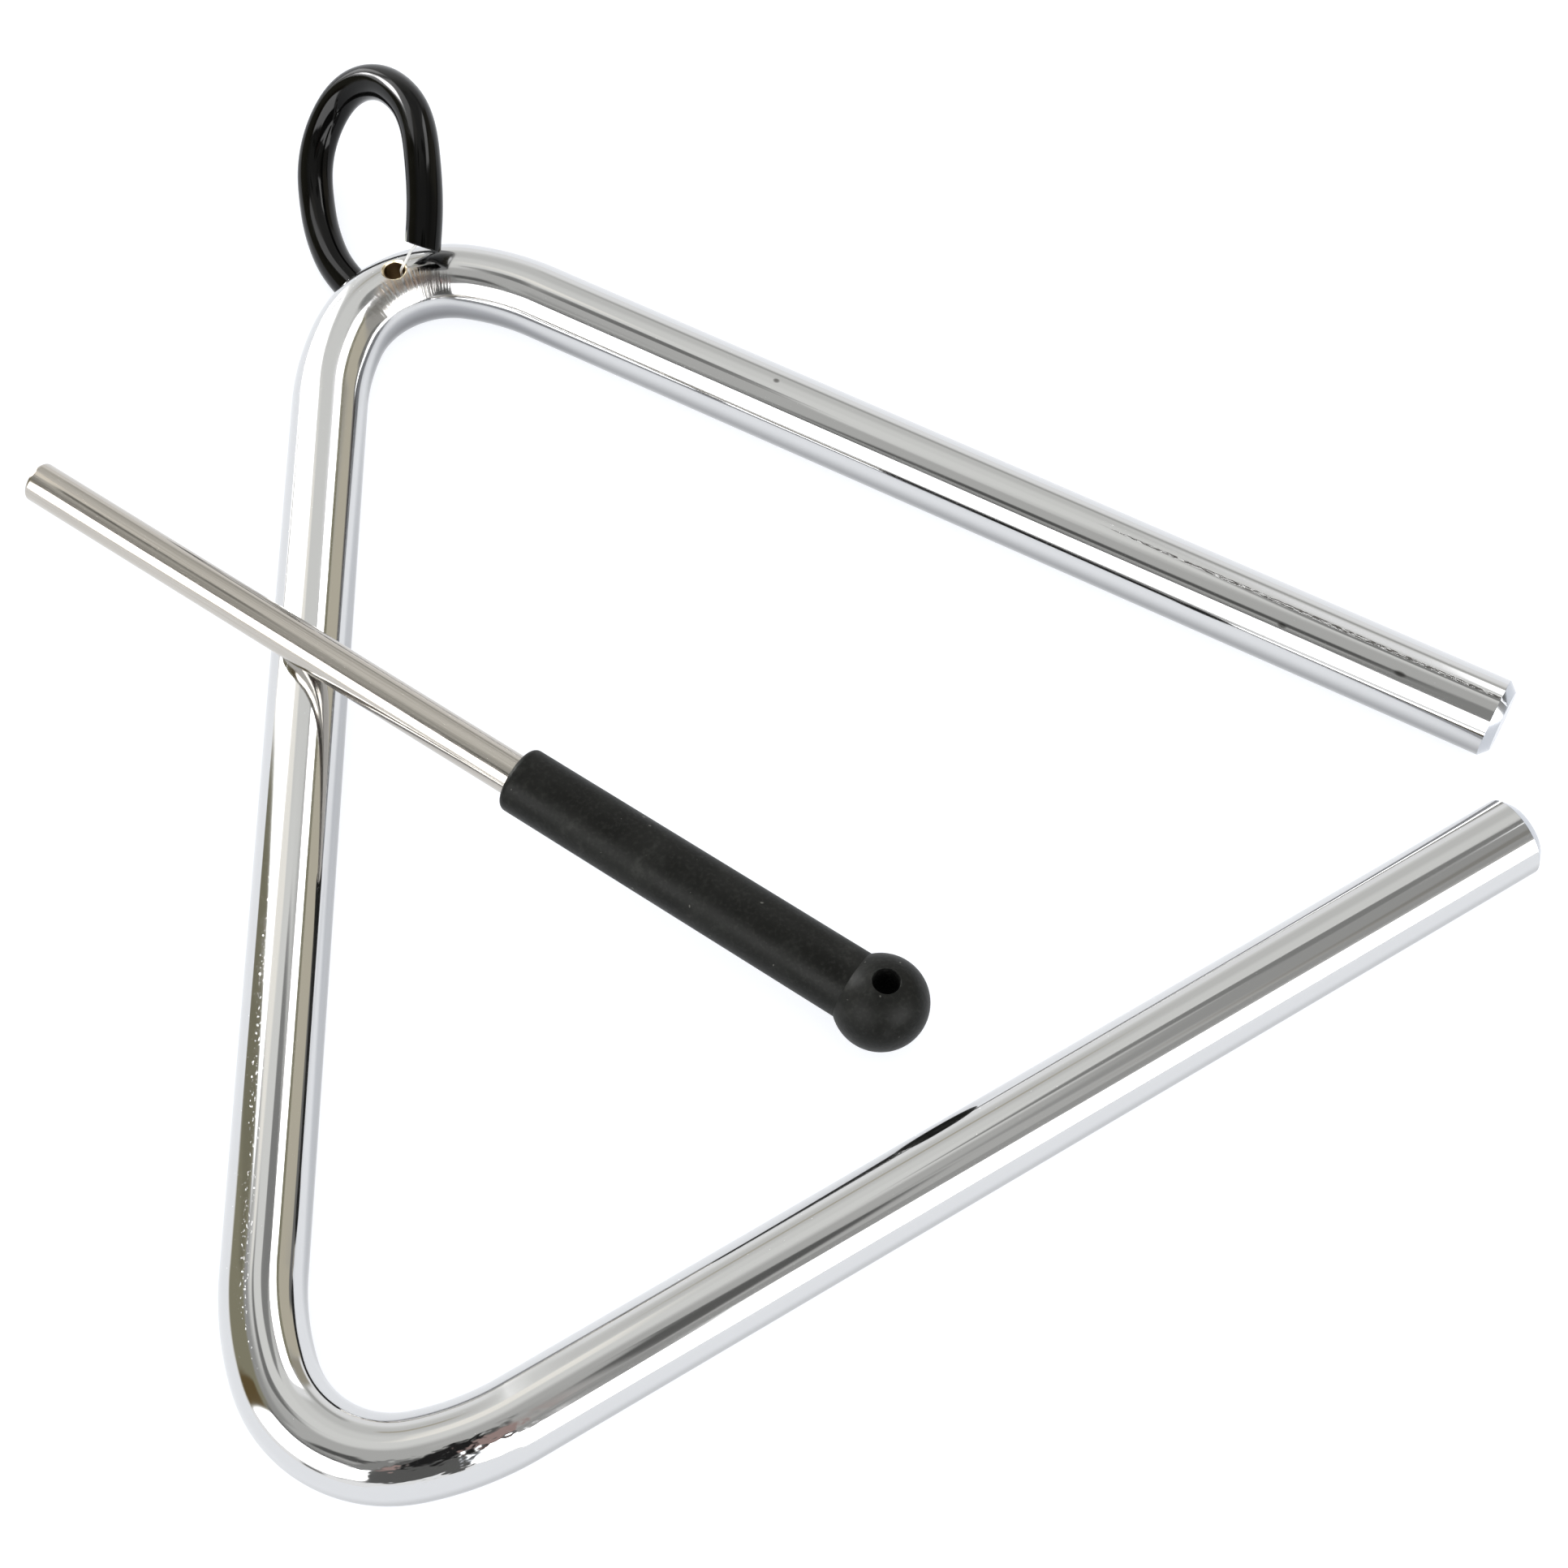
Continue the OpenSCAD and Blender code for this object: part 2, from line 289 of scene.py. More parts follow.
def add_cutter(name, verts, faces):
    """A solid that is only there to cut another one."""
    mesh = bpy.data.meshes.new(name)
    mesh.from_pydata([tuple(v) for v in verts], [], faces)
    cutter = bpy.data.objects.new(name, mesh)
    bpy.context.collection.objects.link(cutter)
    return cutter


def cut(obj, cutter):
    """Cuts the cutter from the object for good and removes it."""
    modifier = obj.modifiers.new("cut", "BOOLEAN")
    modifier.operation = "DIFFERENCE"
    modifier.solver = "EXACT"
    modifier.object = cutter
    graph = bpy.context.evaluated_depsgraph_get()
    mesh = bpy.data.meshes.new_from_object(obj.evaluated_get(graph))
    obj.modifiers.clear()
    obj.data = mesh
    bpy.data.objects.remove(cutter)


def mesh_points(mesh):
    points = np.empty(len(mesh.vertices) * 3)
    mesh.vertices.foreach_get("co", points)
    return points.reshape(-1, 3)


def store(mesh, name, values):
    """Keeps one number per vertex for the material's nodes."""
    layer = mesh.attributes.new(name, "FLOAT", "POINT")
    layer.data.foreach_set("value", np.asarray(values, np.float32))


# Material tools

class Nodes:
    """Adds nodes to a tree and links them, so that a material reads as a list of steps."""

    def __init__(self, tree):
        self.tree = tree
        tree.nodes.clear()

    def add(self, kind, settings=None, **inputs):
        node = self.tree.nodes.new(kind)
        for key, value in (settings or {}).items():
            setattr(node, key, value)
        for key, value in inputs.items():
            self.put(node, key.replace("_", " "), value)
        return node

    def put(self, node, key, value):
        socket = node.inputs[int(key) if key.isdigit() else key]
        if isinstance(value, bpy.types.Node):
            value = value.outputs[0]
        if isinstance(value, bpy.types.NodeSocket):
            self.tree.links.new(value, socket)
        else:
            socket.default_value = value

    def math(self, operation, a, b=0.0, c=0.0):
        node = self.tree.nodes.new("ShaderNodeMath")
        node.operation = operation
        for i, value in enumerate((a, b, c)):
            self.put(node, str(i), value)
        return node.outputs[0]

    def ramp(self, value, low, high, to_low=0.0, to_high=1.0):
        """Takes a value smoothly from to_low, at low, to to_high, at high."""
        node = self.tree.nodes.new("ShaderNodeMapRange")
        node.interpolation_type = "SMOOTHSTEP"
        for i, v in enumerate((value, low, high, to_low, to_high)):
            self.put(node, str(i), v)
        return node.outputs[0]

    def mix(self, share, a, b):
        node = self.tree.nodes.new("ShaderNodeMix")
        node.data_type = "RGBA"
        for key, value in ((0, share), (6, a), (7, b)):
            self.put(node, str(key), value)
        return node.outputs[2]


def new_material(name):
    material = bpy.data.materials.new(name)
    material.use_nodes = True
    return material, Nodes(material.node_tree)


def finish_material(n, shader):
    n.add("ShaderNodeOutputMaterial", Surface=shader)


def object_place(n):
    return n.add("ShaderNodeTexCoord").outputs["Object"]


def stored(n, name):
    """A number that store() kept for each vertex."""
    return n.add("ShaderNodeAttribute", {"attribute_name": name}).outputs["Fac"]


def noise(n, place, scale, detail, **more):
    return n.add("ShaderNodeTexNoise", Vector=place, Scale=scale, Detail=detail, **more)


def spot(n, along, around, place, angle, half_length, half_angle):
    """A round-edged mask on the bar: 1 in the middle of an oval patch, 0 at its edge and beyond."""
    x = n.math("DIVIDE", n.math("SUBTRACT", along, place * MM), half_length * MM)
    y = n.math("DIVIDE", n.math("SUBTRACT", around, angle), half_angle)
    far = n.math("ADD", n.math("MULTIPLY", x, x), n.math("MULTIPLY", y, y))
    return n.ramp(far, 1.0, 0.0)


def patches(n, along, around, rows):
    """One mask over several oval patches."""
    mask = spot(n, along, around, *rows[0])
    for row in rows[1:]:
        mask = n.math("MAXIMUM", mask, spot(n, along, around, *row))
    return mask


def bar_noise(n, along, around, per_mm, per_degree, detail):
    """Noise laid on the bar's unrolled skin, so that its grain can run along the bar or round it."""
    x = n.math("MULTIPLY", along, per_mm / MM)
    y = n.math("MULTIPLY", around, per_degree)
    skin = n.add("ShaderNodeCombineXYZ", X=x, Y=y)
    return noise(n, skin, 1.0, detail).outputs["Fac"]


def hole_distance(n, place):
    """How far each point lies from the hanging hole's axis."""
    x, y, _ = n.add("ShaderNodeSeparateXYZ", Vector=place).outputs
    dx = n.math("SUBTRACT", x, HOLE.x)
    dy = n.math("SUBTRACT", y, HOLE.y)
    return n.math("SQRT", n.math("ADD", n.math("MULTIPLY", dx, dx), n.math("MULTIPLY", dy, dy)))


# Wear, and patches of painted shade, on the bar as (distance along it in mm, angle round it in degrees,
# half length, half angle).
# The distance starts at the upper arm's free end; the angle is 0 outwards, 90 on top, 180 inwards.
PIT_PATCHES = [(262, 76, 26, 10), (242, 68, 20, 8), (47, 88, 2.5, 6), (205, 66, 16, 6)]
SCRATCHES = [(20, 92, 32, 3)]
DARK_DOTS = [(92, 87, 0.5, 5), (12, 118, 0.9, 5), (26, 122, 0.7, 4)]
# The patch of cross brushing in the apex bend: rough and rippled, and its colour darkened as painted shade
# for a darker reflection.
BRUSHED_SHADE_PATCH = (143, 128, 9, 34)
HAZY_BEND = (150, 90, 34, 130)
# Painted shade: the inner flanks darkened and blued, standing for the bar's own shadow on the floor
# mirrored in them.
PAINTED_SHADE_PATCHES = [(142, 190, 34, 32), (222, 170, 75, 20)]
WARM_PATCH = (143, 112, 5, 20)
RIPPLED = (303, 58, 11, 26)

# Where one finish gives way to another: distances from the bar's end and from the hanging hole's axis,
# and the height below which painted shade darkens the plate, each as (where it begins, where it is full)
PLATE_EDGE = (1.08 * MM, 0.98 * MM)
BARE_EDGE = (1.62 * MM, 1.5 * MM)
BORE_EDGE = (1.32 * MM, 1.26 * MM)
# Painted shade: below this height the plate is darkened, standing for its contact shadow on the floor
# mirrored in it.
SHADE_BELOW = (6 * MM, 3.8 * MM)

CHROME = (0.62, 0.622, 0.625, 1)
# Tints laid over the chrome in turn: the mask's name, how far it covers, and the tint
CHROME_LAYERS = [
    ("dots", 0.75, (0.06, 0.055, 0.05, 1)),
    ("scratches", 0.9, (0.05, 0.045, 0.04, 1)),
    # patch of brushing, darkened as painted shade
    ("brushed_painted_shade", 0.8, (0.3, 0.285, 0.265, 1)),
    # painted shade on the inner flanks
    ("painted_shade", 0.55, (0.27, 0.277, 0.295, 1)),
    # painted shade low on the plate
    ("painted_low_shade", 0.52, (0.03, 0.03, 0.032, 1)),
    ("warm", 1.0, (0.6, 0.5, 0.41, 1)),
    ("tip", 1.0, (0.5, 0.515, 0.545, 1)),
    ("bare", 1.0, (0.84, 0.74, 0.54, 1)),
    ("bore", 1.0, (0.27, 0.19, 0.095, 1)),
]


def chrome_marks(n, along, around):
    """Masks for the marks on the plate and for its painted shade, by name. Each is 1 where its mark is
    strongest.
    """
    pit_zone = n.ramp(patches(n, along, around, PIT_PATCHES), 0.0, 0.6)
    pit_level = n.math("MULTIPLY_ADD", pit_zone, -0.19, 0.84)
    pit_grain = bar_noise(n, along, around, 2.2, 0.3, 1.0)
    scratch_zone = n.ramp(patches(n, along, around, SCRATCHES), 0.0, 0.3)
    scratch_grain = bar_noise(n, along, around, 0.9, 0.7, 4.0)
    brushing = bar_noise(n, along, around, 3.0, 0.012, 3.0)
    brush_and_shade_zone = n.ramp(spot(n, along, around, *BRUSHED_SHADE_PATCH), 0.0, 0.8)
    dents = bar_noise(n, along, around, 0.35, 0.08, 2.0)
    return {
        "pits": n.ramp(n.math("SUBTRACT", pit_grain, pit_level), 0.0, 0.04),
        "scratches": n.math("MULTIPLY", n.ramp(scratch_grain, 0.43, 0.49), scratch_zone),
        "dots": patches(n, along, around, DARK_DOTS),
        "brushing": brushing,
        # rough, rippled patch of brushing, darkened as painted shade
        "brushed_painted_shade": n.math("MULTIPLY", n.ramp(brushing, 0.35, 0.6, 0.2, 1.0), brush_and_shade_zone),
        "hazy": spot(n, along, around, *HAZY_BEND),
        # painted shade on the inner flanks
        "painted_shade": n.ramp(patches(n, along, around, PAINTED_SHADE_PATCHES), 0.0, 0.8),
        "warm": n.math("MULTIPLY", spot(n, along, around, *WARM_PATCH), n.ramp(brushing, 0.3, 0.6)),
        "waves": n.math("MULTIPLY", dents, spot(n, along, around, *RIPPLED)),
    }


def chrome_borders(n, place, along, bar_length):
    """Masks for the bar's tips, the bare metal round the hanging hole, its bore and the painted shade low
    on the flanks.
    """
    from_axis = hole_distance(n, place)
    from_end = n.math("MINIMUM", along, n.math("SUBTRACT", bar_length, along))
    height = n.add("ShaderNodeSeparateXYZ", Vector=place).outputs["Z"]
    return {
        "bare": n.ramp(from_axis, *BARE_EDGE),
        "bore": n.ramp(from_axis, *BORE_EDGE),
        "tip": n.ramp(from_end, *PLATE_EDGE),
        # painted shade low on the plate
        "painted_low_shade": n.ramp(height, *SHADE_BELOW),
    }


def chrome_colour(n, masks):
    colour = CHROME
    for name, share, tint in CHROME_LAYERS:
        colour = n.mix(n.math("MULTIPLY", masks[name], share), colour, tint)
    return colour


def chrome_roughness(n, place, masks):
    """A faint haze, rougher where the plate is worn and where it ends in bare metal."""
    roughness = n.ramp(noise(n, place, 90.0, 4.0), 0.35, 0.75, 0.055, 0.09)
    marks = n.math("MAXIMUM", masks["pits"], masks["scratches"])
    for mask, more in ((masks["hazy"], 0.045), (masks["brushed_painted_shade"], 0.16), (marks, 0.25)):
        roughness = n.math("MULTIPLY_ADD", mask, more, roughness)
    for name, least in (("bare", 0.38), ("tip", 0.16)):
        roughness = n.math("MAXIMUM", roughness, n.math("MULTIPLY", masks[name], least))
    return roughness


def chrome_bump(n, masks):
    """The relief of pits, scratches, brushing and dents, one over the other."""
    ripples = n.math("MULTIPLY", masks["brushing"], masks["brushed_painted_shade"])
    pits = {"Strength": 0.6, "Distance": 0.07 * MM, "Height": masks["pits"]}
    bump = n.add("ShaderNodeBump", {"invert": True}, **pits)
    for height, strength, depth in (
        (masks["scratches"], 0.5, 0.06 * MM),
        (ripples, 0.35, 0.06 * MM),
        (masks["waves"], 0.5, 0.25 * MM),
    ):
        bump = n.add("ShaderNodeBump", Strength=strength, Distance=depth, Height=height, Normal=bump)
    return bump


def chrome_material(bar_length):
    """Chrome plate: a mirror with faint haze, pits and scratches, and cross brushing inside the apex bend.
    Painted shade darkens the patch of brushing, the inner flanks and the plate low down.
    """
    material, n = new_material("chrome")
    place, along, around = object_place(n), stored(n, "along"), stored(n, "around")
    masks = {**chrome_marks(n, along, around), **chrome_borders(n, place, along, bar_length)}
    shader = n.add(
        "ShaderNodeBsdfPrincipled", Base_Color=chrome_colour(n, masks), Metallic=1.0,
        Roughness=chrome_roughness(n, place, masks), Normal=chrome_bump(n, masks),
    )
    finish_material(n, shader)
    return material


# The other materials' colours, each from its darker to its lighter tone
STEEL = ((0.465, 0.437, 0.395, 1), (0.52, 0.492, 0.452, 1))
RUBBER = ((0.0055, 0.0058, 0.005, 1), (0.0105, 0.011, 0.0098, 1))
RUBBER_DUST = (0.2, 0.2, 0.18, 1)
RUBBER_SCUFF = (0.045, 0.046, 0.042, 1)
RUBBER_GRAIN = (0.022, 0.0225, 0.02, 1)
# painted shade for the wall of the ball's cross hole
RUBBER_HOLE_SHADE = (0.0004, 0.0004, 0.0004, 1)
TUBE = ((0.001, 0.001, 0.001, 1), (0.002, 0.002, 0.0018, 1))
# painted glint on one corner of the sleeve's cut end
TUBE_GLINT = (0.62, 0.63, 0.56, 1)
NYLON = ((0.95, 0.95, 0.93, 1), (1, 1, 0.98, 1))
PAPER = ((0.35, 0.355, 0.36, 1), (0.36, 0.365, 0.37, 1))


def rod_material():
    """Drawn steel: fine lines along the rod and a soft sheen."""
    material, n = new_material("drawn_steel")
    lines = bar_noise(n, stored(n, "along"), stored(n, "around"), 0.05, 0.35, 3.0)
    fine = noise(n, object_place(n), 400.0, 3.0)
    roughness = n.math("ADD", n.ramp(fine, 0.3, 0.7, 0.07, 0.11), n.ramp(lines, 0.35, 0.7, 0.0, 0.08))
    colour = n.mix(n.ramp(lines, 0.3, 0.7), *STEEL)
    bump = n.add("ShaderNodeBump", Strength=0.15, Distance=0.02 * MM, Height=lines)
    shader = n.add(
        "ShaderNodeBsdfPrincipled", Base_Color=colour, Metallic=1.0, Roughness=roughness, Normal=bump,
    )
    finish_material(n, shader)
    return material


def rubber_material():
    """Matte black rubber with faint cloudy patches, a fine grain and a little dust, and painted shade in
    its cross hole.
    """
    material, n = new_material("rubber")
    place = object_place(n)
    cloud = noise(n, place, 160.0, 4.0)
    speck = noise(n, place, 1300.0, 1.0)
    scuff = noise(n, place, 420.0, 6.0, Roughness=0.7)
    grain = noise(n, place, 2400.0, 3.0)
    painted_hole_shade = stored(n, "painted_hole_shade")
    scuffs = n.math("MULTIPLY", n.ramp(scuff, 0.5, 0.66), n.ramp(cloud, 0.48, 0.62))
    colour = n.mix(n.ramp(cloud, 0.35, 0.7), *RUBBER)
    colour = n.mix(n.ramp(speck, 0.76, 0.8, 0.0, 0.5), colour, RUBBER_DUST)
    colour = n.mix(n.math("MULTIPLY", scuffs, 0.4), colour, RUBBER_SCUFF)
    # painted shade: the cross hole's wall near black
    colour = n.mix(painted_hole_shade, colour, RUBBER_HOLE_SHADE)
    colour = n.mix(n.ramp(grain, 0.45, 0.75, 0.0, 0.5), colour, RUBBER_GRAIN)
    bump = n.add("ShaderNodeBump", Strength=0.45, Distance=0.05 * MM, Height=grain)
    roughness = n.math("MAXIMUM", n.ramp(cloud, 0.3, 0.75, 0.42, 0.55), painted_hole_shade)
    shader = n.add(
        "ShaderNodeBsdfPrincipled", Base_Color=colour, Roughness=roughness, Specular_IOR_Level=0.11,
        Normal=bump,
    )
    finish_material(n, shader)
    return material


def tube_material():
    """Glossy black flexible plastic, with a painted pale glint at one corner of its cut end."""
    material, n = new_material("black_tube")
    wave = noise(n, object_place(n), 220.0, 2.0)
    bump = n.add("ShaderNodeBump", Strength=0.2, Distance=0.08 * MM, Height=wave)
    roughness = n.ramp(wave, 0.3, 0.7, 0.07, 0.11)
    # painted glint on one corner of the cut end
    colour = n.mix(stored(n, "painted_glint"), n.mix(n.ramp(wave, 0.3, 0.7), *TUBE), TUBE_GLINT)
    shader = n.add(
        "ShaderNodeBsdfPrincipled", Base_Color=colour, Roughness=roughness, Specular_IOR_Level=0.16,
        Normal=bump,
    )
    finish_material(n, shader)
    return material


def nylon_material():
    """Clear nylon line with a slight milky tint."""
    material, n = new_material("clear_nylon")
    milk = noise(n, object_place(n), 900.0, 2.0)
    colour = n.mix(milk, *NYLON)
    shader = n.add(
        "ShaderNodeBsdfPrincipled", Base_Color=colour, Roughness=n.ramp(milk, 0.3, 0.7, 0.08, 0.2),
        IOR=1.53, Transmission_Weight=0.15,
    )
    finish_material(n, shader)
    return material


def floor_material():
    """Plain pale paper that glows, so that it shows next to no shadow."""
    material, n = new_material("floor")
    colour = n.mix(noise(n, object_place(n), 6.0, 3.0), *PAPER)
    shader = n.add(
        "ShaderNodeBsdfPrincipled", Base_Color=colour, Roughness=0.9, Specular_IOR_Level=0.0,
        Emission_Strength=FLOOR_GLOW,
    )
    shader.inputs["Emission Color"].default_value = FLOOR_TINT
    finish_material(n, shader)
    return material


# The line, the sleeve and the knot

def from_hole(points):
    return [HOLE + Vector(p) * MM for p in points]


def strand(name, frames, sides, material):
    """A length of the line along a path."""
    verts = swept(frames, [(i, 0, LINE_D / 2) for i in range(len(frames))], sides)
    return add_mesh(name, verts, capped_tube_faces(len(frames), sides), material)


def make_line(material):
    """The clear line: from its knot, down through the hole, out under the bar and back up the sleeve."""
    route = from_hole(LINE_ROUTE + SLEEVE_ROUTE[:-1] + [LINE_END])
    frames = carried_frames(smooth_route(route, LINE_STEP))
    return strand("line", frames, LINE_SIDES, material), route


def snip(verts, end, shifts, sides):
    """Slides the end rings along the tube onto the snipped end's plane."""
    at, along = end[:2]
    way = Vector(SLEEVE_CUT_WAY)
    for ring, shift in enumerate(shifts):
        if shift is not None:
            for k in range(ring * sides, (ring + 1) * sides):
                across = verts[k] - at - shift * along
                verts[k] = verts[k] - across.dot(way) / along.dot(way) * along


def make_sleeve(material):
    """The tube over the line, with its bore open and its high end snipped a little off square."""
    sides = SLEEVE_SIDES
    frames = carried_frames(smooth_route(from_hole(SLEEVE_ROUTE), SLEEVE_STEP))
    last = len(frames) - 1
    quarter = [k * math.pi / 8 for k in range(5)]
    lip = [(SLEEVE_EDGE * (1 - math.sin(a)), SLEEVE_EDGE * (1 - math.cos(a))) for a in quarter]
    start_out = [(0, shift, SLEEVE_R - depth) for shift, depth in reversed(lip)]
    end_out = [(last, -shift, SLEEVE_R - depth) for shift, depth in lip]
    end_in = [(last, -shift, SLEEVE_BORE_R + depth) for shift, depth in reversed(lip)]
    start_in = [(0, shift, SLEEVE_BORE_R + depth) for shift, depth in lip]
    body_end = last - SLEEVE_CUT_RINGS
    outer = start_out + [(i, 0, SLEEVE_R) for i in range(1, body_end + 1)] + end_out
    inner = end_in + [(i, 0, SLEEVE_BORE_R) for i in range(body_end, 0, -1)] + start_in
    loop = outer + inner
    verts = swept(frames, loop, sides)
    snip(verts, frames[last], [shift if i == last else None for i, shift, _ in loop], sides)
    rim = verts[(len(outer) - 1) * sides:len(outer) * sides]
    faces = tube_faces(len(loop), sides)
    final = (len(loop) - 1) * sides
    for k in range(sides):
        n = (k + 1) % sides
        faces.append((final + k, final + n, n, k))
    sleeve = add_mesh("sleeve", verts, faces, material)
    # The corner of the cut rim that gets the painted glint, and the pale patch round it.
    corner = max(rim, key=Vector(GLINT_SIDE).dot)
    store(sleeve.data, "painted_glint", [(v - corner).length < GLINT_REACH for v in verts])
    return sleeve


def make_knot(material):
    """The knot in the sleeve's mouth: the line drawn tight in a three-lobed overhand knot."""
    tall = KNOT_LOBE * KNOT_R
    path = []
    for i in range(KNOT_STEPS + 1):
        a = 2 * math.pi * i / KNOT_STEPS
        wide = KNOT_R * (1 - KNOT_LOBE + KNOT_LOBE * math.cos(3 * a))
        path.append(Vector((wide * math.cos(2 * a), wide * math.sin(2 * a), tall * math.sin(3 * a))))
    centre = from_hole([KNOT_AT])[0]
    mouth = from_hole(SLEEVE_ROUTE[-2:])
    axis = (mouth[1] - mouth[0]).normalized()
    turned = axis.to_track_quat("Z", "Y").to_matrix()
    path = [centre + turned @ p for p in path]
    return strand("knot", carried_frames(path, Vector((1, 0, 0))), KNOT_SIDES, material)


def make_loop():
    nylon = nylon_material()
    line, route = make_line(nylon)
    knot = make_knot(nylon)
    sleeve = make_sleeve(tube_material())
    for piece, node, slot in (
        (line, "suspension_line", "clear_nylon"),
        (knot, "line_knot", "clear_nylon"),
        (sleeve, "line_sleeve", "black_tube"),
    ):
        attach(piece, "loop")
        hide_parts(node)


make_loop()


# The bar

def bar_runs():
    """The bar's centre line from the upper arm's free end to the lower arm's, as straights and arcs.

    Each run is (start, heading, length, radius), with a radius of 0 for a straight.
    """
    runs = []
    heading = math.pi / 2 + HALF_CORNER
    at = APEX - Vector((math.cos(heading), math.sin(heading), 0)) * ARM
    at.z = BAR_HEIGHT

    def straight(length):
        nonlocal at
        runs.append((at.copy(), heading, length, 0))
        at = at + Vector((math.cos(heading), math.sin(heading), 0)) * length

    def arc(radius, turn):
        nonlocal at, heading
        runs.append((at.copy(), heading, radius * turn, radius))
        centre = at + radius * Vector((-math.sin(heading), math.cos(heading), 0))
        heading += turn
        at = centre + radius * Vector((math.sin(heading), -math.cos(heading), 0))

    def bend(shape):
        mid, flank, turn = shape
        arc(flank, turn)
        arc(mid, math.pi - 2 * HALF_CORNER - 2 * turn)
        arc(flank, turn)

    straight(ARM - bend_start(APEX_BEND))
    bend(APEX_BEND)
    straight(SIDE - bend_start(APEX_BEND) - bend_start(CLOSED_BEND))
    bend(CLOSED_BEND)
    straight(ARM - bend_start(CLOSED_BEND))
    return runs


def on_run(run, s):
    """(place, direction) at a distance along one run."""
    at, heading, _, radius = run
    if radius == 0:
        along = Vector((math.cos(heading), math.sin(heading), 0))
        return at + along * s, along
    turned = heading + s / radius
    centre = at + radius * Vector((-math.sin(heading), math.cos(heading), 0))
    place = centre + radius * Vector((math.sin(turned), -math.cos(turned), 0))
    return place, Vector((math.cos(turned), math.sin(turned), 0))


def bar_stations():
    """(distance along the bar, place, direction) for each ring, closer together in the bends."""
    stations = []
    gone = 0
    for run in bar_runs():
        length, radius = run[2], run[3]
        spacing = STRAIGHT_STEP if radius == 0 else BEND_STEP
        count = max(1, round(length / spacing))
        for i in range(count):
            s = length * i / count
            stations.append((gone + s, *on_run(run, s)))
        gone += length
    stations.append((gone, *on_run(run, length)))
    return stations


def bar_axis_normals(points):
    """For points on the bar's skin: the unit vectors away from its centre line, and how far each is off."""
    best = np.full(len(points), np.inf)
    normals = np.zeros((len(points), 3))
    for at, heading, length, radius in bar_runs():
        rel = points - np.array(at)
        along = np.array((math.cos(heading), math.sin(heading), 0))
        left = np.array((-math.sin(heading), math.cos(heading), 0))
        if radius == 0:
            s = np.clip(rel @ along, 0, length)
            foot = s[:, None] * along
        else:
            x, y = rel @ along, rel @ left
            turned = np.clip(np.arctan2(x, radius - y), 0, length / radius)
            ahead, aside = radius * np.sin(turned), radius * (1 - np.cos(turned))
            foot = ahead[:, None] * along + aside[:, None] * left
        away = rel - foot
        size = np.linalg.norm(away, axis=1)
        nearer = size < best - 1e-9
        best = np.where(nearer, size, best)
        normals[nearer] = away[nearer] / size[nearer, None]
    return normals, best


def end_rings(at, along, gone, sign):
    """The rings of a chamfered end, from the bar's skin to its middle, with softly rounded edges."""
    c, e = END_CHAMFER, EDGE_ROUND
    slope = 45 * DEG
    reach = e * math.tan(slope / 2)
    rings = []
    for k in range(4):
        a = k / 3 * slope
        shift = c + reach - e * math.sin(a)
        rings.append((shift, BAR_R - e * (1 - math.cos(a))))
    for k in range(4):
        a = slope + k / 3 * slope
        rings.append((e * (1 - math.sin(a)), BAR_R - c - reach + e * math.cos(a)))
    rings.append((0, (BAR_R - c) / 2))
    return [(gone - sign * shift, at - sign * shift * along, along, radius) for shift, radius in rings]


def hole_cutter():
    """A turned cutter for the hanging hole: its bore, a countersink on top and a wider one underneath."""
    top = 2 * BAR_HEIGHT
    rim = HOLE_RIM_R - HOLE_R
    relief = RELIEF_R - HOLE_R
    over, soft = CUT_OVER, HOLE_SOFT
    profile = [
        (-over, 0), (-over, RELIEF_R + over), (relief - soft, HOLE_R + soft), (relief, HOLE_R + soft / 4),
        (relief + soft, HOLE_R), (top - rim - soft, HOLE_R), (top - rim, HOLE_R + soft / 4),
        (top - rim + soft, HOLE_R + soft), (top + over, HOLE_RIM_R + over), (top + over, 0),
    ]
    verts, faces = lathe(profile, TURNED_SIDES)
    upright = Matrix.Rotation(-90 * DEG, 3, "Y")
    return add_cutter("hole_cutter", [HOLE + upright @ v for v in verts], faces)


def mark_bar(mesh):
    """Stores, for the chrome's nodes, each point's place along the bar and its angle round it.

    The angle is in degrees: 0 outwards, 90 on top and 180 inwards. Its seam is underneath.
    """
    points = mesh_points(mesh)
    along = np.zeros(len(points))
    around = np.zeros(len(points))
    best = np.full(len(points), np.inf)
    gone = 0
    for at, heading, length, radius in bar_runs():
        rel = points - np.array(at)
        fore = np.array((math.cos(heading), math.sin(heading), 0))
        left = np.array((-math.sin(heading), math.cos(heading), 0))
        x, y = rel @ fore, rel @ left
        if radius == 0:
            s = np.clip(x, 0, length)
            inward = y
            beyond = x - s
        else:
            turned = np.arctan2(x, radius - y)
            s = np.clip(turned, 0, length / radius) * radius
            inward = radius - np.hypot(x, radius - y)
            beyond = turned * radius - s
        away = np.sqrt(inward ** 2 + rel[:, 2] ** 2 + beyond ** 2)
        nearer = away < best - 1e-9
        best[nearer] = away[nearer]
        along[nearer] = gone + s[nearer]
        angle = np.degrees(np.arctan2(rel[:, 2], -inward))
        around[nearer] = ((angle + 90) % 360 - 90)[nearer]
        gone += length
    store(mesh, "along", along)
    store(mesh, "around", around)


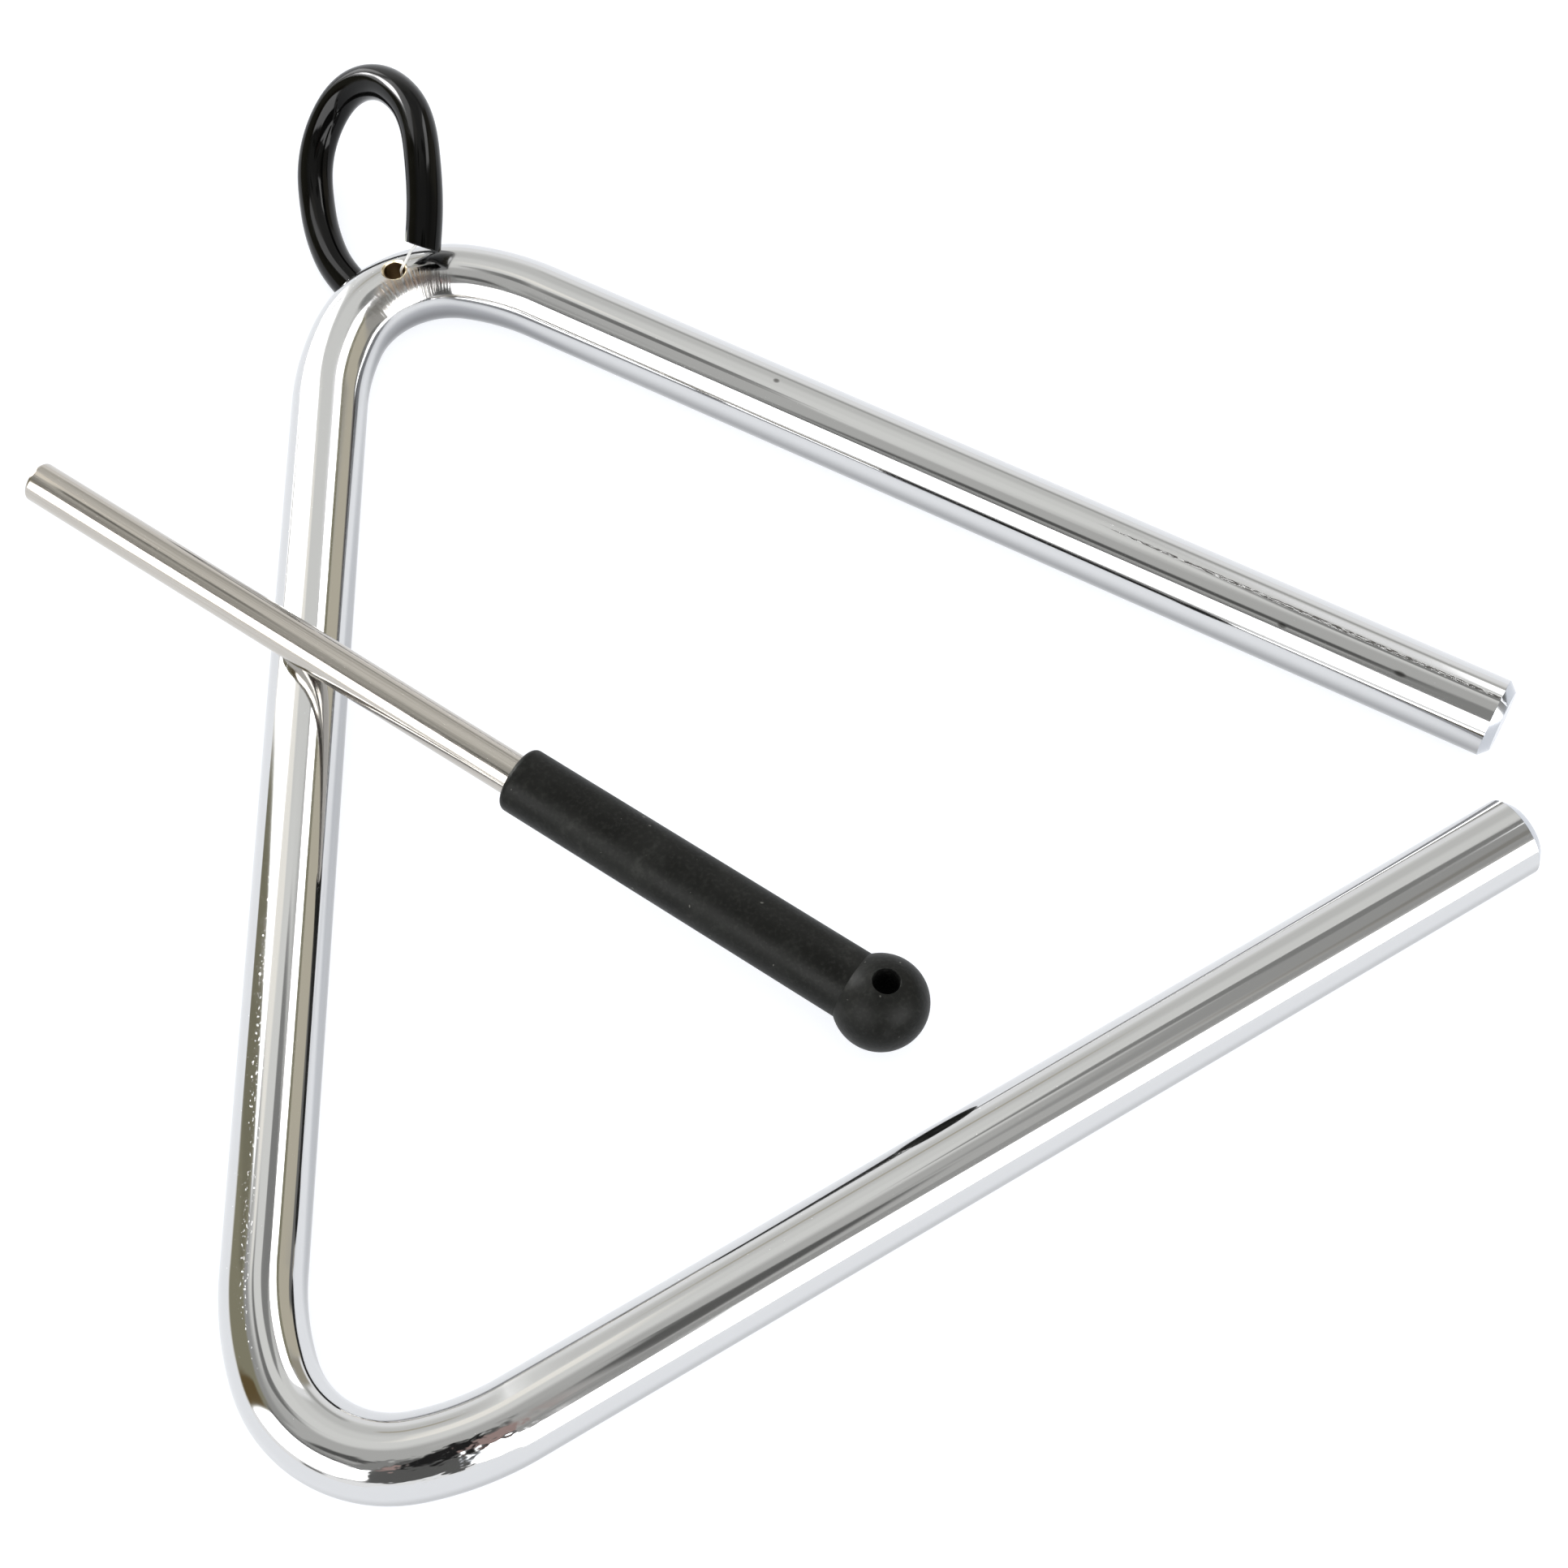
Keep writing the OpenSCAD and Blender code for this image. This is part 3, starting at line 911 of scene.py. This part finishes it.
def smooth_bar_normals(mesh):
    """Gives the bar's skin the true normals of its round section, so that the cut leaves no dents in it."""
    skin, size = bar_axis_normals(mesh_points(mesh))
    loops = np.empty(len(mesh.loops) * 3)
    mesh.corner_normals.foreach_get("vector", loops)
    loops = loops.reshape(-1, 3)
    tolerance = 0.02 * MM
    nearly_along = 0.9
    for face in mesh.polygons:
        on_skin = all(abs(size[v] - BAR_R) < tolerance for v in face.vertices)
        if on_skin and face.normal.dot(Vector(skin[face.vertices[0]])) > nearly_along:
            for corner, vertex in zip(face.loop_indices, face.vertices):
                loops[corner] = skin[vertex]
    mesh.normals_split_custom_set([tuple(v) for v in loops])


def make_bar():
    stations = bar_stations()
    body = [(gone, at, along, BAR_R) for gone, at, along in stations]
    first, last = stations[0], stations[-1]
    clear = END_CHAMFER + EDGE_ROUND
    start = end_rings(first[1], first[2], first[0], -1)
    finish = end_rings(last[1], last[2], last[0], 1)
    body = [r for r in body if first[0] + clear < r[0] < last[0] - clear]
    rings = start[::-1] + body + finish
    verts = []
    for _, at, along, radius in rings:
        out = along.cross(Vector((0, 0, 1)))
        for k in range(BAR_SIDES):
            a = 2 * math.pi * k / BAR_SIDES
            verts.append(at + radius * (math.cos(a) * out + math.sin(a) * Vector((0, 0, 1))))
    faces = [tuple(reversed(f)) for f in capped_tube_faces(len(rings), BAR_SIDES)]
    bar = add_mesh("bar", verts, faces, chrome_material(last[0]), sharp_angle=25)
    cut(bar, hole_cutter())
    mark_bar(bar.data)
    smooth_bar_normals(bar.data)
    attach(bar, "triangle")
    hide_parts("triangle_bar")


make_bar()


# The beater

def beater_place():
    """The beater's own frame, as it lies: the ball on the ground and the rod over the closed side."""
    down = Vector((-math.sin(HALF_CORNER), -math.cos(HALF_CORNER), 0))
    inward = Vector((math.cos(HALF_CORNER), -math.sin(HALF_CORNER), 0))
    ball = APEX + BALL_ALONG_SIDE * down + BALL_OFF_SIDE * inward + Vector((0, 0, BALL_R))
    lean = BAR_R + ROD_R + REST_GAP
    above = BALL_R - BAR_HEIGHT
    off = BALL_OFF_SIDE
    slope = math.atan(
        math.sin(BEATER_TURN) * (lean * math.sqrt(off ** 2 + above ** 2 - lean ** 2) - off * above)
        / (off ** 2 - lean ** 2)
    )
    heading = 90 * DEG - HALF_CORNER + BEATER_TURN
    turn = Matrix.Rotation(heading, 4, "Z") @ Matrix.Rotation(-slope, 4, "Y")
    return Matrix.Translation(ball) @ turn


def rounded(radius, along, edge, sign, steps=6):
    """Profile points round an edge: from the end face to the side when sign is -1, else back again."""
    points = []
    for k in range(steps + 1):
        a = k / steps * math.pi / 2
        points.append((along - sign * edge * (1 - math.sin(a)), radius - edge * (1 - math.cos(a))))
    return points if sign > 0 else points[::-1]


def make_rod(place):
    profile = [(SOCKET_FLOOR, 0), (SOCKET_FLOOR, ROD_R - ROD_CHAMFER), (SOCKET_FLOOR + ROD_CHAMFER, ROD_R)]
    start = SOCKET_FLOOR + ROD_CHAMFER
    run = ROD_REACH - ROD_CHAMFER - start
    profile += [(start + run * k / ROD_ROWS, ROD_R) for k in range(1, ROD_ROWS)]
    profile += rounded(ROD_R, ROD_REACH, ROD_CHAMFER, 1)
    profile += [(ROD_REACH, ROD_R * 0.5), (ROD_REACH, 0)]
    verts, faces = lathe(profile, TURNED_SIDES)
    rod = add_mesh("rod", [place @ v for v in verts], faces, rod_material(), sharp_angle=40)
    store(rod.data, "along", [v.x for v in verts])
    store(rod.data, "around", [math.degrees(math.atan2(v.y, v.z)) for v in verts])
    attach(rod, "beater")
    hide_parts("beater_rod")


def grip_profile():
    """From the ball's back, over the ball to the neck, along the grip and in at its front to the socket."""
    neck_angle = math.asin(GRIP_BACK_R / BALL_R)
    points = [(-BALL_R, 0)]
    for k in range(1, BALL_ROWS + 1):
        a = math.pi - k / BALL_ROWS * (math.pi - neck_angle)
        points.append((BALL_R * math.cos(a), BALL_R * math.sin(a)))
    neck = points[-1][0]
    front = GRIP_REACH - GRIP_RIM
    for k in range(1, GRIP_ROWS):
        share = k / GRIP_ROWS
        points.append((neck + (front - neck) * share, GRIP_BACK_R + (GRIP_FRONT_R - GRIP_BACK_R) * share))
    points += rounded(GRIP_FRONT_R, GRIP_REACH, GRIP_RIM, 1, 8)
    mouth, soft = ROD_R + MOUTH_GAP, MOUTH_SOFT
    points += [
        (GRIP_REACH, mouth + soft), (GRIP_REACH - soft / 3, mouth + soft / 3), (GRIP_REACH - soft, mouth),
        (SOCKET_FLOOR, mouth), (SOCKET_FLOOR, 0),
    ]
    return points


def cross_hole_cutter(place):
    """A turned cutter with flared ends, so that the cross hole's edges come out soft."""
    flare, over = CROSS_HOLE_SOFT, CUT_OVER
    reach = math.sqrt(BALL_R ** 2 - CROSS_HOLE_R ** 2)
    profile = [(-reach - over, 0), (-reach - over, CROSS_HOLE_R + flare + over)]
    for k in range(7):
        a = k / 6 * math.pi / 2
        profile.append((-reach + flare * math.sin(a), CROSS_HOLE_R + flare * (1 - math.sin(a)) ** 2))
    profile += [(-x, r) for x, r in profile[:1:-1]]
    profile += [(reach + over, CROSS_HOLE_R + flare + over), (reach + over, 0)]
    verts, faces = lathe(profile, TURNED_SIDES)
    upright = Matrix.Rotation(CROSS_HOLE_TURN, 4, "X") @ Matrix.Rotation(-90 * DEG, 4, "Y")
    return add_cutter("cross_hole_cutter", [place @ upright @ v for v in verts], faces)


def mark_cavity(mesh, place):
    """Marks the cross hole's wall for the rubber's nodes, which paint it near black as painted shade."""
    upright = (place @ Matrix.Rotation(CROSS_HOLE_TURN, 4, "X")).inverted()
    points = [upright @ v.co for v in mesh.vertices]
    wall = CROSS_HOLE_R + 0.01 * MM
    depth = math.sqrt(BALL_R ** 2 - CROSS_HOLE_R ** 2) - 0.05 * MM
    store(mesh, "painted_hole_shade", [math.hypot(v.x, v.y) < wall and abs(v.z) < depth for v in points])


def make_grip(place):
    verts, faces = lathe(grip_profile(), TURNED_SIDES)
    grip = add_mesh("grip", [place @ v for v in verts], faces, rubber_material())
    cut(grip, cross_hole_cutter(place))
    grip.data.set_sharp_from_angle(angle=30 * DEG)
    mark_cavity(grip.data, place)
    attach(grip, "beater")
    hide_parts("beater_grip")


def make_beater():
    place = beater_place()
    make_rod(place)
    make_grip(place)


make_beater()


# Floor and surroundings

FLOOR_HALF = 3.0
FLOOR_GLOW = 0.8
FLOOR_TINT = (0.98, 1, 1.04, 1)
SKY = (1.1, 1.1, 1.1, 1)
DOME_R = 2.5
DOME_LOW = -3 * DEG
DOME_ROWS = 280
DOME_COLUMNS = 720


def make_floor():
    h = FLOOR_HALF
    corners = [(-h, -h, 0), (h, -h, 0), (h, h, 0), (-h, h, 0)]
    floor = add_mesh("floor", corners, [(0, 1, 2, 3)], floor_material())


# The room that the chrome mirrors, as soft-edged cards on a dome round the object, each laid over the
# ones before it: name, azimuth of the middle, half width, lowest, highest, lean, softness of the sides,
# softness of the ends, brightness, tint. Angles are in degrees and the lean is in degrees per degree.
# The dark screen and its two warm patches stand where the photo's chrome mirrors whoever took the photo.
# They are plain soft patches too, and no figure is drawn.
NEUTRAL = (1, 1, 1)
GREY = (1, 1, 0.97)
TAUPE = (1.03, 1, 0.93)
TAN = (1.08, 1, 0.8)
OLIVE = (1.06, 1, 0.7)
BROWN = (1.35, 0.95, 0.42)
WARM = (1.3, 0.95, 0.88)
COOL = (0.96, 1, 1.06)
OVERHEAD = (0.6, 0.6, 0.58)
CARDS = [
    ("pale ceiling", 75, 50, 57, 79, 0, 30, 12, 0.95, GREY),
    ("low pale band", 0, 190, -5, 9, 0, 2, 4, 1.15, NEUTRAL),
    ("grey wall", -33, 24, 3, 60, 0, 10, 6, 0.44, TAUPE),
    ("grey wall's top", -30, 22, 40, 58, 0, 10, 6, 0.32, TAUPE),
    ("dim ceiling", -19, 31, 57, 74, 0, 8, 5, 0.43, GREY),
    ("pale wall", 60, 30, -2, 62, 0, 3, 6, 0.9, GREY),
    ("pale wall's shade", 62, 26, 24, 46, 0, 8, 12, 0.76, GREY),
    ("pale wall's foot", 58, 30, -2, 18, 0, 3, 8, 1.08, NEUTRAL),
    ("shelf on the pale wall", 43, 13, 22, 29, 0, 6, 4, 0.52, GREY),
    ("bright edge of the pale wall", 36, 4, 33, 52, 0, 6, 6, 1.1, NEUTRAL),
    ("dark rail on the pale wall", 77, 7, 34, 37.5, 0, 4, 3, 0.48, TAN),
    ("tan wall", -1, 12, 0, 46, -0.42, 7, 3, 0.6, TAN),
    ("olive lintel", 4, 15, 34, 43, -0.42, 3, 3, 0.29, OLIVE),
    ("brown box", 20, 9, 9, 30, 0, 6, 6, 0.4, TAN),
    ("skylight", 13, 17.6, 39, 56.5, -0.4, 5, 4, 7, NEUTRAL),
    ("dark beam", 26, 24, 62.3, 71.5, 0.11, 8, 2, 0.3, GREY),
    ("pale blind", 98, 15, 50, 63, 0, 6, 3, 1.2, TAUPE),
    ("right window", 106, 14.9, -2, 49.6, 0, 5, 5, 4.5, NEUTRAL),
    ("sun in the right window", 112, 5, 11, 27, 0.5, 5, 5, 60, NEUTRAL),
    ("right window's sill", 106, 15, 7.5, 13, -0.6, 2, 4, 0.8, GREY),
    ("dark beam behind", 116, 14, 65, 71.5, 0, 8, 3, 0.22, GREY),
    ("grey above the door", 143, 22, 44, 58, 0, 4, 8, 0.42, GREY),
    ("dark door", 143, 21, 4, 47, 0, 2, 6, 0.3, OLIVE),
    ("brown door", 157, 6, 6, 38, 0, 3, 6, 0.12, BROWN),
    ("door's edge", 126, 4.5, 0, 42, 0, 2, 5, 0.24, OLIVE),
    ("back window's head", -170, 30, 44, 54, 0.1, 6, 4, 0.4, GREY),
    ("back window's rail", -170, 30, 44, 49, 0.1, 6, 3, 0.2, GREY),
    ("back window", -168, 26.6, 10.4, 44.1, 0.08, 5, 4, 7, NEUTRAL),
    ("back window's foot", -162, 5, 3, 7, 0, 4, 3, 0.15, GREY),
    ("dark curtain rail", -168, 14, 56.5, 67, 0.3, 6, 5, 0.12, GREY),
    ("grey by the window", -148, 9, 42, 75, 0, 6, 6, 0.33, GREY),
    ("dark screen", -115, 25, 8, 84, 0, 4, 4, 0.14, GREY),
    ("dark screen's middle", -117, 11, 46, 86, 0, 4, 6, 0.02, NEUTRAL),
    ("warm patch, right", -97, 9, 54, 74, 0, 5, 8, 0.34, WARM),
    ("warm patch, left", -134, 4, 44, 60, 0, 4, 6, 0.36, WARM),
    ("light gap", -102, 3, 16, 42, 0, 3, 6, 0.8, COOL),
    ("light strip", -94, 4, 8, 40, 0, 3, 12, 0.7, GREY),
    ("left window's head", -68, 20, 40, 53, -0.2, 4, 3, 0.44, GREY),
    ("left window", -76, 26, -5, 39, -0.45, 5, 4, 7, NEUTRAL),
    ("left window's blind", -86, 4, 36, 52, 0.4, 3, 3, 0.42, GREY),
    ("dark ceiling lamp", -71, 13, 63, 79, 0.45, 5, 4, 0.14, GREY),
    ("table's edge", -17, 32, -5, 2.5, 0, 6, 2, 0.12, COOL),
    ("foot of the grey wall", -18, 16, -6, 9, 0, 4, 2, 0.2, GREY),
]


def smooth_step(x):
    x = np.clip(x, 0, 1)
    return x * x * (3 - 2 * x)


def room_colour(azimuth, elevation):
    """What the dome shows in each direction, given in degrees."""
    colour = np.ones((len(azimuth), 3)) * np.array(OVERHEAD)
    for _, middle, half, low, high, lean, side, end, light, tint in CARDS:
        off = (azimuth - middle + 180) % 360 - 180
        height = elevation - lean * off
        share = smooth_step((half + side / 2 - np.abs(off)) / side)
        share = share * smooth_step((height - low + end / 2) / end)
        share = share * smooth_step((high + end / 2 - height) / end)
        colour += share[:, None] * (light * np.array(tint) - colour)
    return colour


def dome_material():
    material, n = new_material("room")
    colour = n.add("ShaderNodeAttribute", {"attribute_name": "room"}).outputs["Color"]
    finish_material(n, n.add("ShaderNodeEmission", Color=colour))
    material.cycles.emission_sampling = "NONE"
    return material


def make_dome():
    """The half sphere that carries the room. Only mirroring surfaces see it; the sky lights the rest."""
    rows, columns = DOME_ROWS, DOME_COLUMNS
    elevation = np.repeat(np.linspace(DOME_LOW, 90 * DEG, rows), columns)
    azimuth = np.tile(np.arange(columns) * 2 * math.pi / columns, rows)
    flat = np.cos(elevation)
    verts = DOME_R * np.stack([flat * np.cos(azimuth), flat * np.sin(azimuth), np.sin(elevation)], axis=1)
    dome = add_mesh("room", verts, tube_faces(rows, columns), dome_material())
    colour = room_colour(azimuth / DEG, elevation / DEG)
    layer = dome.data.attributes.new("room", "FLOAT_COLOR", "POINT")
    layer.data.foreach_set("color", np.concatenate([colour, np.ones((len(colour), 1))], axis=1).ravel())
    for kind in ("camera", "diffuse", "transmission", "volume_scatter", "shadow"):
        setattr(dome, f"visible_{kind}", False)


def make_world():
    """An even pale sky, which lights everything softly from all sides."""
    world = bpy.data.worlds.new("studio")
    bpy.context.scene.world = world
    world.use_nodes = True
    n = Nodes(world.node_tree)
    shade = n.add("ShaderNodeBackground")
    shade.inputs["Color"].default_value = SKY
    n.add("ShaderNodeOutputWorld", Surface=shade)


make_floor()
make_dome()
make_world()
bpy.context.scene.view_settings.view_transform = "Standard"
bpy.context.scene.view_settings.look = "None"
